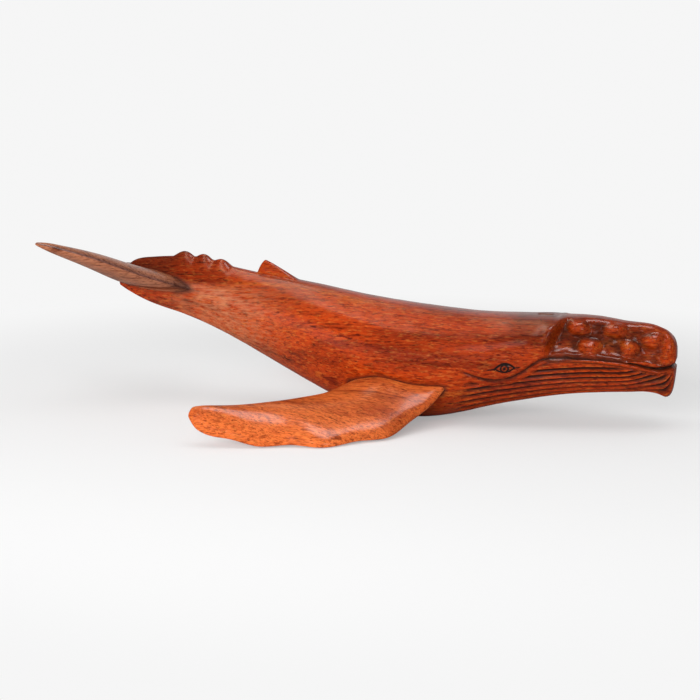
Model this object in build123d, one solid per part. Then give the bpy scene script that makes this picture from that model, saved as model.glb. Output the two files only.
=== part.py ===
from build123d import *
import os
from math import cos, radians, sin

os.makedirs("parts", exist_ok=True)

# The whale lies along X with its head at +X and stands on the floor at Z = 0.
# Lengths are in millimetres, turns in degrees; shares are parts of the sizes they follow.

# Body block
body_length = 463.0
snout_reach = 250.0
back_rise = 125.0
body_half_width = 46.0
tail_twist_turn = 13.0

# Head
mouth_groove_width = 1.6
lip_height = 5.0
groove_depth = 2.4
pleat_width = 1.2
pleat_fan_turn = 90.0
pleat_axis_front_rise = 58.0
pleat_axis_rear_rise = 47.0
scoop_radius = 45.0
scoop_rise = 97.8
brow_foot_ahead = 147.5
brow_foot_rise = 58.5
brow_lean_turn = 24.7
tubercle_radius = 6.5
eye_radius = 8.0
blowhole_radius = 11.0
blowhole_stand = 1.8

# Back
fin_ahead = -50.0
fin_base_rise = 100.0
fin_length = 44.0
fin_height = 22.0
fin_thickness = 8.0
knuckle_radius = 8.0
knuckle_stand = 4.0

# Flippers
flipper_heading_turn = 40.6
flipper_root_side = 32.0
flipper_length = 175.0
flipper_width = 100.0
flipper_rise = 36.0
flipper_thickness = 17.5
flipper_dowel_ahead = 50.0
flipper_dowel_spacing = 34.0
flipper_dowel_rise = 25.5
flipper_dowel_turn = 15.0
flipper_dowel_diameter = 7.0
flipper_dowel_length = 26.0

# Flukes
fluke_root_ahead = -145.0
fluke_root_side = 3.0
fluke_root_rise = 97.5
fluke_heading_turn = 53.1
fluke_length = 140.8
fluke_width = 50.0
fluke_lift = 24.0
fluke_thickness = 16.5
fluke_dowel_ahead = -166.0
fluke_dowel_spacing = 24.0
fluke_dowel_lift = 0.3
fluke_dowel_diameter = 5.0
fluke_dowel_length = 30.0

# Fits
glue_gap = 0.2
dowel_gap = 0.05

# Share of a straight side that makes a cubic quarter nearly round.
round_share = 0.5523

# Share of a blade's thickness that lies above its two edges.
even_crown_share = 0.5
flipper_crown_share = 0.58
fluke_crown_share = 0.7

# Body stations, tail to snout: place along body_length, crown and keel of back_rise,
# half width of body_half_width, fullness of crown and keel, and part of the tail twist.
body_station_shares = [
    (0.000, 0.832, 0.776, 0.050, 0.40, 0.40, 1.00),
    (0.022, 0.939, 0.732, 0.110, 0.40, 0.30, 1.00),
    (0.060, 0.974, 0.670, 0.175, 0.40, 0.30, 1.00),
    (0.114, 0.983, 0.611, 0.230, 0.42, 0.35, 0.90),
    (0.190, 0.942, 0.504, 0.330, 0.46, 0.45, 0.60),
    (0.276, 0.885, 0.344, 0.510, 0.52, 0.52, 0.25),
    (0.363, 0.840, 0.178, 0.715, 0.55, 0.55, 0.05),
    (0.449, 0.782, 0.043, 0.890, 0.55, 0.55, 0.00),
    (0.536, 0.738, -0.008, 0.985, 0.55, 0.55, 0.00),
    (0.611, 0.710, 0.018, 1.000, 0.56, 0.55, 0.00),
    (0.676, 0.695, 0.086, 0.955, 0.58, 0.55, 0.00),
    (0.741, 0.696, 0.143, 0.870, 0.66, 0.56, 0.00),
    (0.806, 0.699, 0.189, 0.785, 0.76, 0.58, 0.00),
    (0.870, 0.696, 0.215, 0.680, 0.82, 0.60, 0.00),
    (0.924, 0.672, 0.228, 0.570, 0.82, 0.60, 0.00),
    (0.961, 0.658, 0.229, 0.460, 0.80, 0.60, 0.00),
    (0.974, 0.641, 0.215, 0.410, 0.78, 0.60, 0.00),
    (0.984, 0.623, 0.200, 0.360, 0.76, 0.60, 0.00),
    (0.991, 0.600, 0.212, 0.315, 0.72, 0.60, 0.00),
    (0.997, 0.568, 0.272, 0.260, 0.68, 0.58, 0.00),
    (1.000, 0.530, 0.368, 0.200, 0.62, 0.55, 0.00),
]
core_first_station = 9
core_last_station = 19

# Mouth line, snout to the hook behind the eye: place along body_length, height of back_rise.
mouth_line_shares = [
    (1.013, 0.426),
    (0.998, 0.414),
    (0.986, 0.406),
    (0.970, 0.402),
    (0.955, 0.413),
    (0.937, 0.432),
    (0.910, 0.453),
    (0.877, 0.467),
    (0.845, 0.474),
    (0.811, 0.477),
    (0.791, 0.470),
    (0.778, 0.450),
    (0.767, 0.424),
    (0.754, 0.384),
    (0.737, 0.343),
    (0.720, 0.320),
    (0.703, 0.311),
    (0.686, 0.318),
    (0.669, 0.338),
    (0.652, 0.364),
    (0.646, 0.378),
]

# Pleats of one side, lip to keel: parts of pleat_fan_turn away from straight down.
pleat_shares = [0.90, 0.81, 0.72, 0.62, 0.50, 0.34, 0.15]

# Middle of the scoop beside the upper jaw: place along body_length, side of body_half_width,
# height of scoop_rise.
scoop_shares = [
    (0.762, 1.359, 1.000),
    (0.806, 1.313, 1.000),
    (0.870, 1.235, 0.987),
    (0.924, 1.209, 0.920),
    (0.968, 1.167, 0.853),
    (0.991, 1.196, 0.780),
    (1.013, 1.348, 0.760),
]

# Tubercles: place along body_length, side of body_half_width, height of back_rise.
tubercle_shares = [
    (0.837, 0.330, 0.612),
    (0.895, 0.252, 0.604),
    (0.958, 0.178, 0.556),
    (0.858, 0.465, 0.515),
    (0.926, 0.322, 0.504),
]
eye_shares = (0.718, 0.760, 0.392)
blowhole_share = 0.784
knuckle_shares = [0.122, 0.159, 0.192]

# Fin, base to tip: up fin_height, front and rear edge back along fin_length, thickness.
fin_shares = [
    (0.00, 0.00, 1.00, 1.00),
    (0.36, 0.16, 0.96, 0.86),
    (0.60, 0.41, 0.93, 0.66),
    (0.80, 0.60, 0.90, 0.46),
    (1.00, 0.77, 0.85, 0.24),
]

# Flipper, root to tip: on along flipper_length, then across flipper_width and up flipper_rise
# for the front edge and for the rear edge, then thickness.
flipper_shares = [
    (-0.171, 0.790, 0.917, 0.050, 1.000, 1.10),
    (-0.074, 0.840, 0.556, 0.090, 0.944, 1.18),
    (0.040, 0.890, 0.306, 0.145, 0.903, 1.18),
    (0.189, 0.990, 0.080, 0.250, 0.806, 1.06),
    (0.326, 0.985, 0.080, 0.350, 0.731, 0.87),
    (0.429, 1.000, 0.045, 0.390, 0.728, 0.79),
    (0.514, 0.985, 0.035, 0.425, 0.736, 0.73),
    (0.617, 0.860, 0.070, 0.460, 0.756, 0.67),
    (0.749, 0.770, 0.050, 0.484, 0.783, 0.59),
    (0.857, 0.660, 0.195, 0.478, 0.817, 0.50),
    (0.937, 0.580, 0.275, 0.464, 0.847, 0.42),
    (0.980, 0.520, 0.400, 0.452, 0.825, 0.36),
    (1.000, 0.480, 0.520, 0.440, 0.770, 0.22),
]
flipper_dowel_shares = {"front": 1.0, "rear": 0.0}

# Fluke, root to tip, before the tail twist: columns as for the flipper.
fluke_shares = [
    (-0.035, 0.180, -0.150, -1.000, -0.125, 0.86),
    (0.084, 0.092, -0.110, -1.020, -0.050, 0.95),
    (0.211, 0.020, 0.020, -1.010, 0.050, 1.00),
    (0.351, -0.066, 0.170, -1.000, 0.170, 0.96),
    (0.505, -0.156, 0.390, -0.960, 0.390, 0.85),
    (0.667, -0.256, 0.620, -0.830, 0.580, 0.69),
    (0.828, -0.360, 0.800, -0.676, 0.740, 0.51),
    (0.940, -0.436, 0.905, -0.560, 0.868, 0.33),
    (1.000, -0.478, 0.965, -0.512, 0.950, 0.12),
]
fluke_dowel_shares = {"front": 1.0, "rear": 0.0}


def along(share):
    return snout_reach - body_length * (1 - share)


def quarter(centre, first, second, fullness):
    start = centre + first
    end = centre + second
    return Bezier(start, start + second * fullness, end + first * fullness, end)


def oval(centre, side, up, down, crown_fullness, keel_fullness):
    """A closed oval of four cubic quarters about its centre."""
    edges = [
        quarter(centre, side, up, crown_fullness),
        quarter(centre, up, -side, crown_fullness),
        quarter(centre, -side, down, keel_fullness),
        quarter(centre, down, side, keel_fullness),
    ]
    return Face(Wire(edges))


def body_section(station, inset):
    place, crown, keel, width, crown_fullness, keel_fullness, twist = station
    turn = radians(tail_twist_turn * twist)
    half_height = back_rise * (crown - keel) / 2 - inset
    half_width = body_half_width * width - inset
    centre = Vector(along(place), 0, back_rise * (crown + keel) / 2)
    side = Vector(0, -cos(turn), sin(turn)) * half_width
    up = Vector(0, sin(turn), cos(turn)) * half_height
    return oval(centre, side, up, -up, crown_fullness, keel_fullness)


def station_at(place):
    """The body station at any place, between its two neighbours in the table."""
    for before, after in zip(body_station_shares, body_station_shares[1:]):
        if before[0] <= place <= after[0]:
            part = (place - before[0]) / (after[0] - before[0])
            return [a + (b - a) * part for a, b in zip(before, after)]


def crown_ball(place, radius, stand):
    """A ball let into the crown of the body so that it stands proud by the given height."""
    station = station_at(place)
    turn = radians(tail_twist_turn * station[6])
    half_height = back_rise * (station[1] - station[2]) / 2
    centre = Vector(along(place), 0, back_rise * (station[1] + station[2]) / 2)
    middle = centre + Vector(0, sin(turn), cos(turn)) * (half_height + stand - radius)
    return Pos(middle) * Rot(Z=90) * Sphere(radius)


def both_sides(solid):
    return solid + mirror(solid, about=Plane.XZ)


def side_ball(shares, radius):
    place, side, height = shares
    ball = Pos(along(place), -body_half_width * side, back_rise * height) * Sphere(radius)
    return both_sides(ball)


def blade(stations, onward, crown_share, grow):
    """A solid through parallel oval sections, each from a front point, a rear point and a thickness."""
    sections = []
    for front, rear, thickness in stations:
        chord = (front - rear).normalized()
        lift = onward.cross(chord)
        side = chord * ((front - rear).length / 2 + grow)
        up = lift * (thickness * crown_share + grow)
        down = lift * -(thickness * (1 - crown_share) + grow)
        sections.append(oval((front + rear) * 0.5, side, up, down, round_share, round_share))
    return loft(sections)


def fin():
    stations = []
    for up, front_back, rear_back, thick in fin_shares:
        height = fin_base_rise + fin_height * up
        front = Vector(fin_ahead - fin_length * front_back, 0, height)
        rear = Vector(fin_ahead - fin_length * rear_back, 0, height)
        stations.append((front, rear, fin_thickness * thick))
    return blade(stations, Vector(0, 0, 1), even_crown_share, 0)


def limb(origin, heading_turn, length, width, rise, thickness, shares, crown_share, grow):
    """A limb that leaves the right side, its sections square to a line turned outward from straight back."""
    onward = Vector(-cos(radians(heading_turn)), -sin(radians(heading_turn)), 0)
    across = Vector(sin(radians(heading_turn)), -cos(radians(heading_turn)), 0)
    stations = []
    for on, front_across, front_up, rear_across, rear_up, thick in shares:
        spine = origin + onward * (length * on)
        front = spine + across * (width * front_across) + Vector(0, 0, rise * front_up)
        rear = spine + across * (width * rear_across) + Vector(0, 0, rise * rear_up)
        stations.append((front, rear, thickness * thick))
    return blade(stations, onward, crown_share, grow)


def outside(root_side):
    """Everything to the right of an upright plane at a root."""
    return Pos(0, -root_side, 0) * Box(
        body_length * 2, body_length, body_length, align=(Align.CENTER, Align.MAX, Align.CENTER)
    )


def flipper_blade(grow):
    whole = limb(
        Vector(0, 0, 0),
        flipper_heading_turn,
        flipper_length,
        flipper_width,
        flipper_rise,
        flipper_thickness,
        flipper_shares,
        flipper_crown_share,
        grow,
    )
    return whole & outside(flipper_root_side - grow)


def fluke_blade(grow):
    whole = limb(
        Vector(fluke_root_ahead, 0, 0),
        fluke_heading_turn,
        fluke_length,
        fluke_width,
        fluke_lift,
        fluke_thickness,
        fluke_shares,
        fluke_crown_share,
        grow,
    )
    return whole & outside(fluke_root_side - grow)


def on_tail(solid):
    """Carry a piece from the level tail frame to the twisted tail."""
    return Pos(0, 0, fluke_root_rise) * Rot(X=-tail_twist_turn) * solid


def flipper_pin(end, gap):
    """A round pin across the flipper's root plane, half in the body and half in the flipper."""
    ahead = flipper_dowel_ahead - flipper_dowel_spacing * (1 - flipper_dowel_shares[end])
    pin = Cylinder(flipper_dowel_diameter / 2 + gap, flipper_dowel_length + gap * 2)
    return Pos(ahead, -flipper_root_side, flipper_dowel_rise) * Rot(X=90 + flipper_dowel_turn) * pin


def fluke_pin(end, gap):
    """A round pin through the tail stock into both flukes, in the level tail frame."""
    ahead = fluke_dowel_ahead - fluke_dowel_spacing * (1 - fluke_dowel_shares[end])
    pin = Cylinder(fluke_dowel_diameter / 2 + gap, fluke_dowel_length + gap * 2)
    return Pos(ahead, 0, fluke_dowel_lift) * Rot(X=90) * pin


def mouth_points(drop):
    return [(along(place), back_rise * height - drop) for place, height in mouth_line_shares]


def head_core():
    """The inside of the head below every groove."""
    core_stations = body_station_shares[core_first_station : core_last_station + 1]
    return loft([body_section(station, groove_depth) for station in core_stations])


def mouth_groove():
    band = Plane.XZ * trace(Spline(*mouth_points(0)), line_width=mouth_groove_width)
    return extrude(band, amount=body_half_width * 2, both=True)


def throat_region():
    """Everything below the lip and ahead of the rear ends of the pleats, seen from the side."""
    lip = Spline(*mouth_points(lip_height))
    front_top = lip @ 0
    rear_top = lip @ 1
    floor_front = Vector(front_top.X, -back_rise)
    floor_rear = Vector(rear_top.X, -back_rise)
    outline = [lip, Line(rear_top, floor_rear), Line(floor_rear, floor_front), Line(floor_front, front_top)]
    return extrude(Plane.XZ * make_face(outline), amount=body_half_width * 2, both=True)


def pleat_slabs():
    """Thin upright slabs fanned about a line that runs through the jaw."""
    rear_ahead = along(mouth_line_shares[-1][0])
    front_point = Vector(snout_reach, 0, pleat_axis_front_rise)
    rear_point = Vector(rear_ahead, 0, pleat_axis_rear_rise)
    axis = front_point - rear_point
    middle = (front_point + rear_point) * 0.5
    slabs = []
    for share in pleat_shares:
        for way in (-1, 1):
            turn = way * pleat_fan_turn * share
            frame = Plane(origin=middle, x_dir=(0, 1, 0), z_dir=axis)
            slab = Rot(Z=turn) * Pos(0, -body_half_width, 0) * Box(
                pleat_width, body_half_width * 2, axis.length * 2
            )
            slabs.append(frame * slab)
    return slabs


def rostrum_scoops():
    """Hollows along both sides of the upper jaw, ended behind by the leaning brow."""
    rings = []
    for place, side, height in scoop_shares:
        centre = Vector(along(place), -body_half_width * side, scoop_rise * height)
        rings.append(Plane(origin=centre, z_dir=(1, 0, 0)) * Circle(scoop_radius))
    scoop = loft(rings)
    behind = Pos(brow_foot_ahead, 0, brow_foot_rise) * Rot(Y=brow_lean_turn) * Box(
        body_length, body_length, body_length, align=(Align.MAX, Align.CENTER, Align.CENTER)
    )
    return both_sides(scoop - behind)


def below_floor():
    return Box(body_length * 2, body_length * 2, back_rise, align=(Align.CENTER, Align.CENTER, Align.MAX))


def body():
    block = loft([body_section(station, 0) for station in body_station_shares])
    block = block - rostrum_scoops()
    block = block + fin()
    for place in knuckle_shares:
        block = block + crown_ball(place, knuckle_radius, knuckle_stand)
    block = block + crown_ball(blowhole_share, blowhole_radius, blowhole_stand)
    for shares in tubercle_shares:
        block = block + side_ball(shares, tubercle_radius)
    block = block + side_ball(eye_shares, eye_radius)
    core = head_core()
    block = block - (mouth_groove() - core)
    throat = throat_region()
    for slab in pleat_slabs():
        block = block - ((slab & throat) - core)
    block = block - both_sides(flipper_blade(glue_gap))
    block = block - on_tail(both_sides(fluke_blade(glue_gap)))
    for end in flipper_dowel_shares:
        block = block - both_sides(flipper_pin(end, dowel_gap))
    for end in fluke_dowel_shares:
        block = block - on_tail(fluke_pin(end, dowel_gap))
    return block - below_floor()


def right_flipper():
    wing = flipper_blade(0)
    for end in flipper_dowel_shares:
        wing = wing - flipper_pin(end, dowel_gap)
    return wing - below_floor()


def right_fluke():
    lobe = fluke_blade(0)
    for end in fluke_dowel_shares:
        lobe = lobe - fluke_pin(end, dowel_gap)
    return lobe


pieces = {"body": body()}
pieces["right_flipper"] = right_flipper()
pieces["left_flipper"] = mirror(pieces["right_flipper"], about=Plane.XZ)
level_fluke = right_fluke()
pieces["right_fluke"] = on_tail(level_fluke)
pieces["left_fluke"] = on_tail(mirror(level_fluke, about=Plane.XZ))
for end in flipper_dowel_shares:
    pin = flipper_pin(end, 0)
    pieces["right_flipper_" + end + "_dowel"] = pin
    pieces["left_flipper_" + end + "_dowel"] = mirror(pin, about=Plane.XZ)
for end in fluke_dowel_shares:
    pieces["fluke_" + end + "_dowel"] = on_tail(fluke_pin(end, 0))

for name, piece in pieces.items():
    export_step(piece, "parts/" + name + ".step")
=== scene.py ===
from math import cos, pi, radians, sin, tan
from types import SimpleNamespace

import bmesh
import bpy
import numpy as np
from mathutils import Matrix, Vector
from mathutils.bvhtree import BVHTree


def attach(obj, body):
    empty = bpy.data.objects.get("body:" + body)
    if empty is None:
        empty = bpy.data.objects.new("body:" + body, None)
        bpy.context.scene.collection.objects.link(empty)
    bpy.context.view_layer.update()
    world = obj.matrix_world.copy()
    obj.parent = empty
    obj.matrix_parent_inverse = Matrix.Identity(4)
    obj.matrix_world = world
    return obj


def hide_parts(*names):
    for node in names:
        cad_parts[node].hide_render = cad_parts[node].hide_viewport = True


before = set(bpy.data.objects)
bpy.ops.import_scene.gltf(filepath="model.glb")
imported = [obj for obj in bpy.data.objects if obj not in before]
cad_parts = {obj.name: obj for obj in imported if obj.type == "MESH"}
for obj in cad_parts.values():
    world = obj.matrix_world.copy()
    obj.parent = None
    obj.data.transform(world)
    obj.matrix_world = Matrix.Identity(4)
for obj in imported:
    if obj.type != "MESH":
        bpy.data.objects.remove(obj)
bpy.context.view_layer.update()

# The frame is in metres; the whale's own sizes below are in millimetres and its turns in degrees.
MM = 0.001

# Body sizes
body_length = 463.0
snout_reach = 250.0
tail_reach = snout_reach - body_length
back_rise = 125.0
body_half_width = 46.0
tail_twist_turn = 13.0

# Tail to snout: place along body_length, crown and keel of back_rise, half width of
# body_half_width, fullness of crown and keel, and part of the tail twist.
body_station_shares = [
    (0.000, 0.832, 0.776, 0.050, 0.40, 0.40, 1.00),
    (0.022, 0.939, 0.732, 0.110, 0.40, 0.30, 1.00),
    (0.060, 0.974, 0.670, 0.175, 0.40, 0.30, 1.00),
    (0.114, 0.983, 0.611, 0.230, 0.42, 0.35, 0.90),
    (0.190, 0.942, 0.504, 0.330, 0.46, 0.45, 0.60),
    (0.276, 0.885, 0.344, 0.510, 0.52, 0.52, 0.25),
    (0.363, 0.840, 0.178, 0.715, 0.55, 0.55, 0.05),
    (0.449, 0.782, 0.043, 0.890, 0.55, 0.55, 0.00),
    (0.536, 0.738, -0.008, 0.985, 0.55, 0.55, 0.00),
    (0.611, 0.710, 0.018, 1.000, 0.56, 0.55, 0.00),
    (0.676, 0.695, 0.086, 0.955, 0.58, 0.55, 0.00),
    (0.741, 0.696, 0.143, 0.870, 0.66, 0.56, 0.00),
    (0.806, 0.699, 0.189, 0.785, 0.76, 0.58, 0.00),
    (0.870, 0.696, 0.215, 0.680, 0.82, 0.60, 0.00),
    (0.924, 0.672, 0.228, 0.570, 0.82, 0.60, 0.00),
    (0.961, 0.658, 0.229, 0.460, 0.80, 0.60, 0.00),
    (0.974, 0.641, 0.215, 0.410, 0.78, 0.60, 0.00),
    (0.984, 0.623, 0.200, 0.360, 0.76, 0.60, 0.00),
    (0.991, 0.600, 0.212, 0.315, 0.72, 0.60, 0.00),
    (0.997, 0.568, 0.272, 0.260, 0.68, 0.58, 0.00),
    (1.000, 0.530, 0.368, 0.200, 0.62, 0.55, 0.00),
]

# Mouth line, snout to the hook behind the eye, as (X, Z)
mouth_line = np.array([
    (256.0, 53.2), (249.0, 51.8), (243.5, 50.7), (236.0, 50.2), (229.0, 51.6), (221.0, 54.0), (208.5, 56.6),
    (193.0, 58.4), (178.0, 59.3), (162.5, 59.6), (153.3, 58.8), (147.0, 56.3), (142.0, 53.0), (136.0, 48.0),
    (128.2, 42.9), (120.4, 40.0), (112.5, 38.9), (104.5, 39.8), (96.7, 42.2), (88.8, 45.5), (86.0, 47.2),
])
mouth_depth, mouth_gape, mouth_widening, widening_start = 1.2, 1.0, 0.9, (218, 245)
hook_length = 14
nose_gape, nose_start = 1.8, (240, 249)

# A cord of lip below the mouth, with a line under it, and a low edge above the mouth
lip_height, lip_start = 0.8, (140, 156)
lip_top, lip_foot = (0.6, 1.6), (2.6, 3.6)
lip_line_depth, lip_line_drop, lip_line_width, lip_line_end = 1.1, 3.9, 0.8, (240, 248)
edge_height, edge_foot, edge_top = 0.5, (0.5, 1.4), (1.6, 3.4)

# Upper jaw: half width of its flat top and how far that top's rim lies under the crown, along X
rim_places = [150, 160, 190, 215, 235, 247]
rim_half_widths = [14.5, 13.5, 11.0, 9.5, 7.5, 5.5]
rim_drops = [0.6, 0.7, 1.2, 1.8, 2.8, 4.0]
jaw_lip_share, jaw_rim_share = 0.08, 0.80
jaw_lip_step = 1.4
jaw_hollow, jaw_hollow_in_share, jaw_hollow_down_share = 5.6, 0.83, 0.55
jaw_hollow_skew = 0.62
jaw_hollow_end, jaw_end = (224, 246), (238, 248)
jaw_smoothing_passes = 34

# Tubercles on each side of the upper jaw, and the hollows behind them: X, Z, reach along and up, height
tubercles = [
    (174.0, 79.9, 10.4, 7.0, 4.9), (202.8, 78.6, 11.4, 6.4, 5.3), (232.0, 70.8, 9.8, 6.8, 4.9),
    (184.5, 66.2, 9.4, 7.4, 5.5), (214.6, 65.0, 8.8, 6.6, 5.3),
]
hollows = [
    (164.0, 79.5, 4.5, 5.0, 1.4), (189.5, 78.5, 5.0, 5.0, 1.8), (221.5, 71.0, 5.0, 5.0, 1.6),
    (174.5, 67.0, 4.0, 5.0, 1.0), (205.5, 66.0, 4.0, 5.0, 1.0),
]
knob_out_share, knob_up_share = 0.95, 0.20
# The jaw side's mottle raises the wood, and is painted on it as light and shade as well
mottle_height, mottle_painted_shade = 0.30, 0.14

# The brow is a leaning edge between the rounded head and the hollow side of the jaw
brow_x, brow_z, brow_lean = 147.5, 58.5, 24.7
brow_step = (0.6, 5.6)

# The flank starts at a part of the half width, and so does the carved side of the jaw
flank_share, jaw_side_shares = 0.30, (0.22, 0.40)

# The eye slopes a little; its lids meet at both ends of its length
eye_x, eye_z = 120.4, 49.6
eye_slope_share = 0.09
eye_half_length, eye_half_opening = 7.5, 3.7

# Throat pleats: places along the lower quarter of the oval, from the side down to the keel.
# The lower ones are wider, and a verge beside each is cut as well at the chin.
pleat_place_shares = np.array([0.118, 0.203, 0.294, 0.396, 0.512, 0.660, 0.830])
pleat_step_shares = np.diff(np.append(pleat_place_shares, 0.985))
pleat_half_share, pleat_widening, pleat_verge = 0.011, 1.9, 2.3
pleat_depth = 2.1
pleat_land_height = 0.45
pleat_rear_end, pleat_rear_step, pleat_rear_fade = 86.0, 2.2, 16
pleat_front_fade = (246, 249.5)
pleat_lip_gap = (4.4, 6.0)
pleat_chin_start, pleat_chin_verge = (212, 240), 0.55

# At the chin the pleats sweep up to the lip, over a smooth pad
chin_start, chin_run = 190, 59
chin_lift_share = 0.55
chin_lip_share, chin_pad_share = 0.10, 0.86

# Tail knuckles: X, height and reach
knuckles = [(-157.0, 4.6, 10.5), (-139.8, 4.6, 9.5), (-124.2, 3.8, 9.5)]
knuckle_half_width, knuckle_roundness = 7.5, 1.5

# Dorsal fin
fin_front_x, fin_front_run = -57.5, 28.5
fin_rear_x, fin_rear_run = -92.6, 6.0
fin_rise, fin_half_width = 14.3, 4.6
fin_crispness, fin_rear_crispness, fin_rear_curve = 2.9, 3.19, 0.7

# Blowhole: a low crest with a dip ahead of it and two slits in it
crest_height, crest_half_width = 0.3, 12.0
crest_start, crest_end = (136, 152), (152.5, 156)
dip_x, dip_depth, dip_reach = 157, 0.8, 2.0
slit_x, slit_side, slit_spread_share = 146, 3.2, 0.16
slit_half_width, slit_depth = 0.9, 1.2
slit_start, slit_end = (139, 142), (151, 153.5)


# Curves
def natural_spline(knots, values, at):
    """Natural cubic spline through rows of values."""
    count = len(knots)
    gap = np.diff(knots)
    matrix = np.eye(count)
    right = np.zeros_like(values)
    for i in range(1, count - 1):
        matrix[i, i - 1 : i + 2] = gap[i - 1], 2 * (gap[i - 1] + gap[i]), gap[i]
        right[i] = 3 * ((values[i + 1] - values[i]) / gap[i] - (values[i] - values[i - 1]) / gap[i - 1])
    c = np.linalg.solve(matrix, right)
    g = gap[:, None]
    b = (values[1:] - values[:-1]) / g - g * (2 * c[:-1] + c[1:]) / 3
    d = (c[1:] - c[:-1]) / (3 * g)
    i = np.clip(np.searchsorted(knots, at, side="right") - 1, 0, count - 2)
    s = (at - knots[i])[:, None]
    return values[i] + b[i] * s + c[i] * s**2 + d[i] * s**3


def smooth(low, high, value):
    t = np.clip((value - low) / (high - low), 0.0, 1.0)
    return t * t * (3 - 2 * t)


def between(start, end, value):
    """Rise over the two places of start and fall again over those of end."""
    return smooth(*start, value) * (1 - smooth(*end, value))


def bell(value, width):
    return np.exp(-((value / width) ** 2))


def dome(share):
    return np.clip(1 - share**2, 0, None)


def quarter_weights(tau, fullness):
    """Parts of the side and of the crown vector at tau along one quarter of an oval."""
    rest = 1 - tau
    side = rest**3 + 3 * rest**2 * tau + 3 * rest * tau**2 * fullness
    up = 3 * rest**2 * tau * fullness + 3 * rest * tau**2 + tau**3
    return side, up


def ahead_of_brow(x, z):
    return x - (brow_x + (z - brow_z) * tan(radians(brow_lean)))


def mouth_height(x):
    return np.interp(x, mouth_line[::-1, 0], mouth_line[::-1, 1])


def mouth_distance(x, z):
    """In the side view: distance to the mouth line, height above it, and its run from there to the hook."""
    best = np.full(x.shape, np.inf)
    above = np.zeros(x.shape)
    run = np.zeros(x.shape)
    length = 0.0
    for (x0, z0), (x1, z1) in zip(mouth_line[:-1], mouth_line[1:]):
        dx, dz = x1 - x0, z1 - z0
        size = np.hypot(dx, dz)
        t = np.clip(((x - x0) * dx + (z - z0) * dz) / size**2, 0, 1)
        px, pz = x0 + t * dx, z0 + t * dz
        dist = np.hypot(x - px, z - pz)
        nearer = dist < best
        best = np.where(nearer, dist, best)
        above = np.where(nearer, np.where(z > pz, dist, -dist), above)
        run = np.where(nearer, length + t * size, run)
        length += size
    return best, above, length - run


# Meshes
def grid_faces(row_total, column_total):
    """Quads of a tube of rows closed round its columns."""
    r, c = np.meshgrid(np.arange(row_total - 1), np.arange(column_total), indexing="ij")
    n = (c + 1) % column_total
    here, onward = r * column_total, (r + 1) * column_total
    return np.stack([here + c, here + n, onward + n, onward + c], axis=-1).reshape(-1, 4).tolist()


def capped(points):
    """Faces of a tube of rings with both ends closed."""
    row_total, column_total = points.shape[:2]
    faces = grid_faces(row_total, column_total)
    faces.append(list(range(column_total))[::-1])
    last = (row_total - 1) * column_total
    faces.append([last + i for i in range(column_total)])
    return faces


def make_object(name, points, faces, attributes=None):
    mesh = bpy.data.meshes.new(name)
    mesh.from_pydata([tuple(p) for p in points], [], faces)
    mesh.validate()
    mesh.update()
    for key, values in (attributes or {}).items():
        layer = mesh.attributes.new(key, "FLOAT", "POINT")
        layer.data.foreach_set("value", np.asarray(values, dtype=np.float32))
    for polygon in mesh.polygons:
        polygon.use_smooth = True
    piece = bpy.data.objects.new(name, mesh)
    bpy.context.collection.objects.link(piece)
    return piece


def trim_root(piece, plane_y):
    """Cut the limb off square at an upright plane and close the cut."""
    work = bmesh.new()
    work.from_mesh(piece.data)
    everything = work.verts[:] + work.edges[:] + work.faces[:]
    bmesh.ops.bisect_plane(
        work, geom=everything, plane_co=(0, plane_y, 0), plane_no=(0, 1, 0), clear_outer=True, dist=1e-7
    )
    open_edges = [e for e in work.edges if e.is_boundary]
    bmesh.ops.holes_fill(work, edges=open_edges, sides=0)
    bmesh.ops.recalc_face_normals(work, faces=work.faces[:])
    work.to_mesh(piece.data)
    work.free()
    for polygon in piece.data.polygons:
        polygon.use_smooth = True


def turn_faces_out(piece):
    work = bmesh.new()
    work.from_mesh(piece.data)
    bmesh.ops.recalc_face_normals(work, faces=work.faces[:])
    work.to_mesh(piece.data)
    work.free()


def mirrored(piece, name):
    mesh = piece.data.copy()
    mesh.name = name
    mesh.transform(Matrix.Diagonal((1, -1, 1, 1)))
    mesh.flip_normals()
    twin = bpy.data.objects.new(name, mesh)
    bpy.context.collection.objects.link(twin)
    return twin


# Rows of the body's grid lie closer together where there is more carving: X and distance apart
row_spacing = np.array([
    (-213, 1.5), (-166, 1.3), (-116, 1.3), (-112, 2.2), (-97, 1.2), (-93, 0.8), (-82, 0.8),
    (-60, 1.3), (-55, 2.2), (-22, 2.0), (-16, 1.3), (76, 1.3), (82, 1.0), (250, 0.95),
])
row_count = 380
search_count = 6000


def body_rows():
    """Sections of the body: X, crown, keel, half width, fullness of crown and keel, and twist."""
    shares = np.array(body_station_shares)
    sizes = np.array([body_length, back_rise, back_rise, body_half_width, 1, 1, tail_twist_turn])
    stations = shares * sizes
    stations[:, 0] = snout_reach - body_length * (1 - shares[:, 0])
    steps = np.sqrt((np.diff(stations[:, :4], axis=0) ** 2).sum(axis=1))
    knots = np.concatenate([[0], np.cumsum(steps)])
    dense = np.linspace(0, knots[-1], search_count)
    dense_x = natural_spline(knots, stations, dense)[:, 0]
    spacing = np.interp(dense_x, row_spacing[:, 0], row_spacing[:, 1])
    weight = np.concatenate([[0], np.cumsum(np.diff(dense) / spacing[1:])])
    row_at = np.interp(np.linspace(0, weight[-1], row_count), weight, dense)
    return natural_spline(knots, stations, row_at)


def pleat_half(place):
    return pleat_half_share * (1 + pleat_widening * place)


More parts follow.
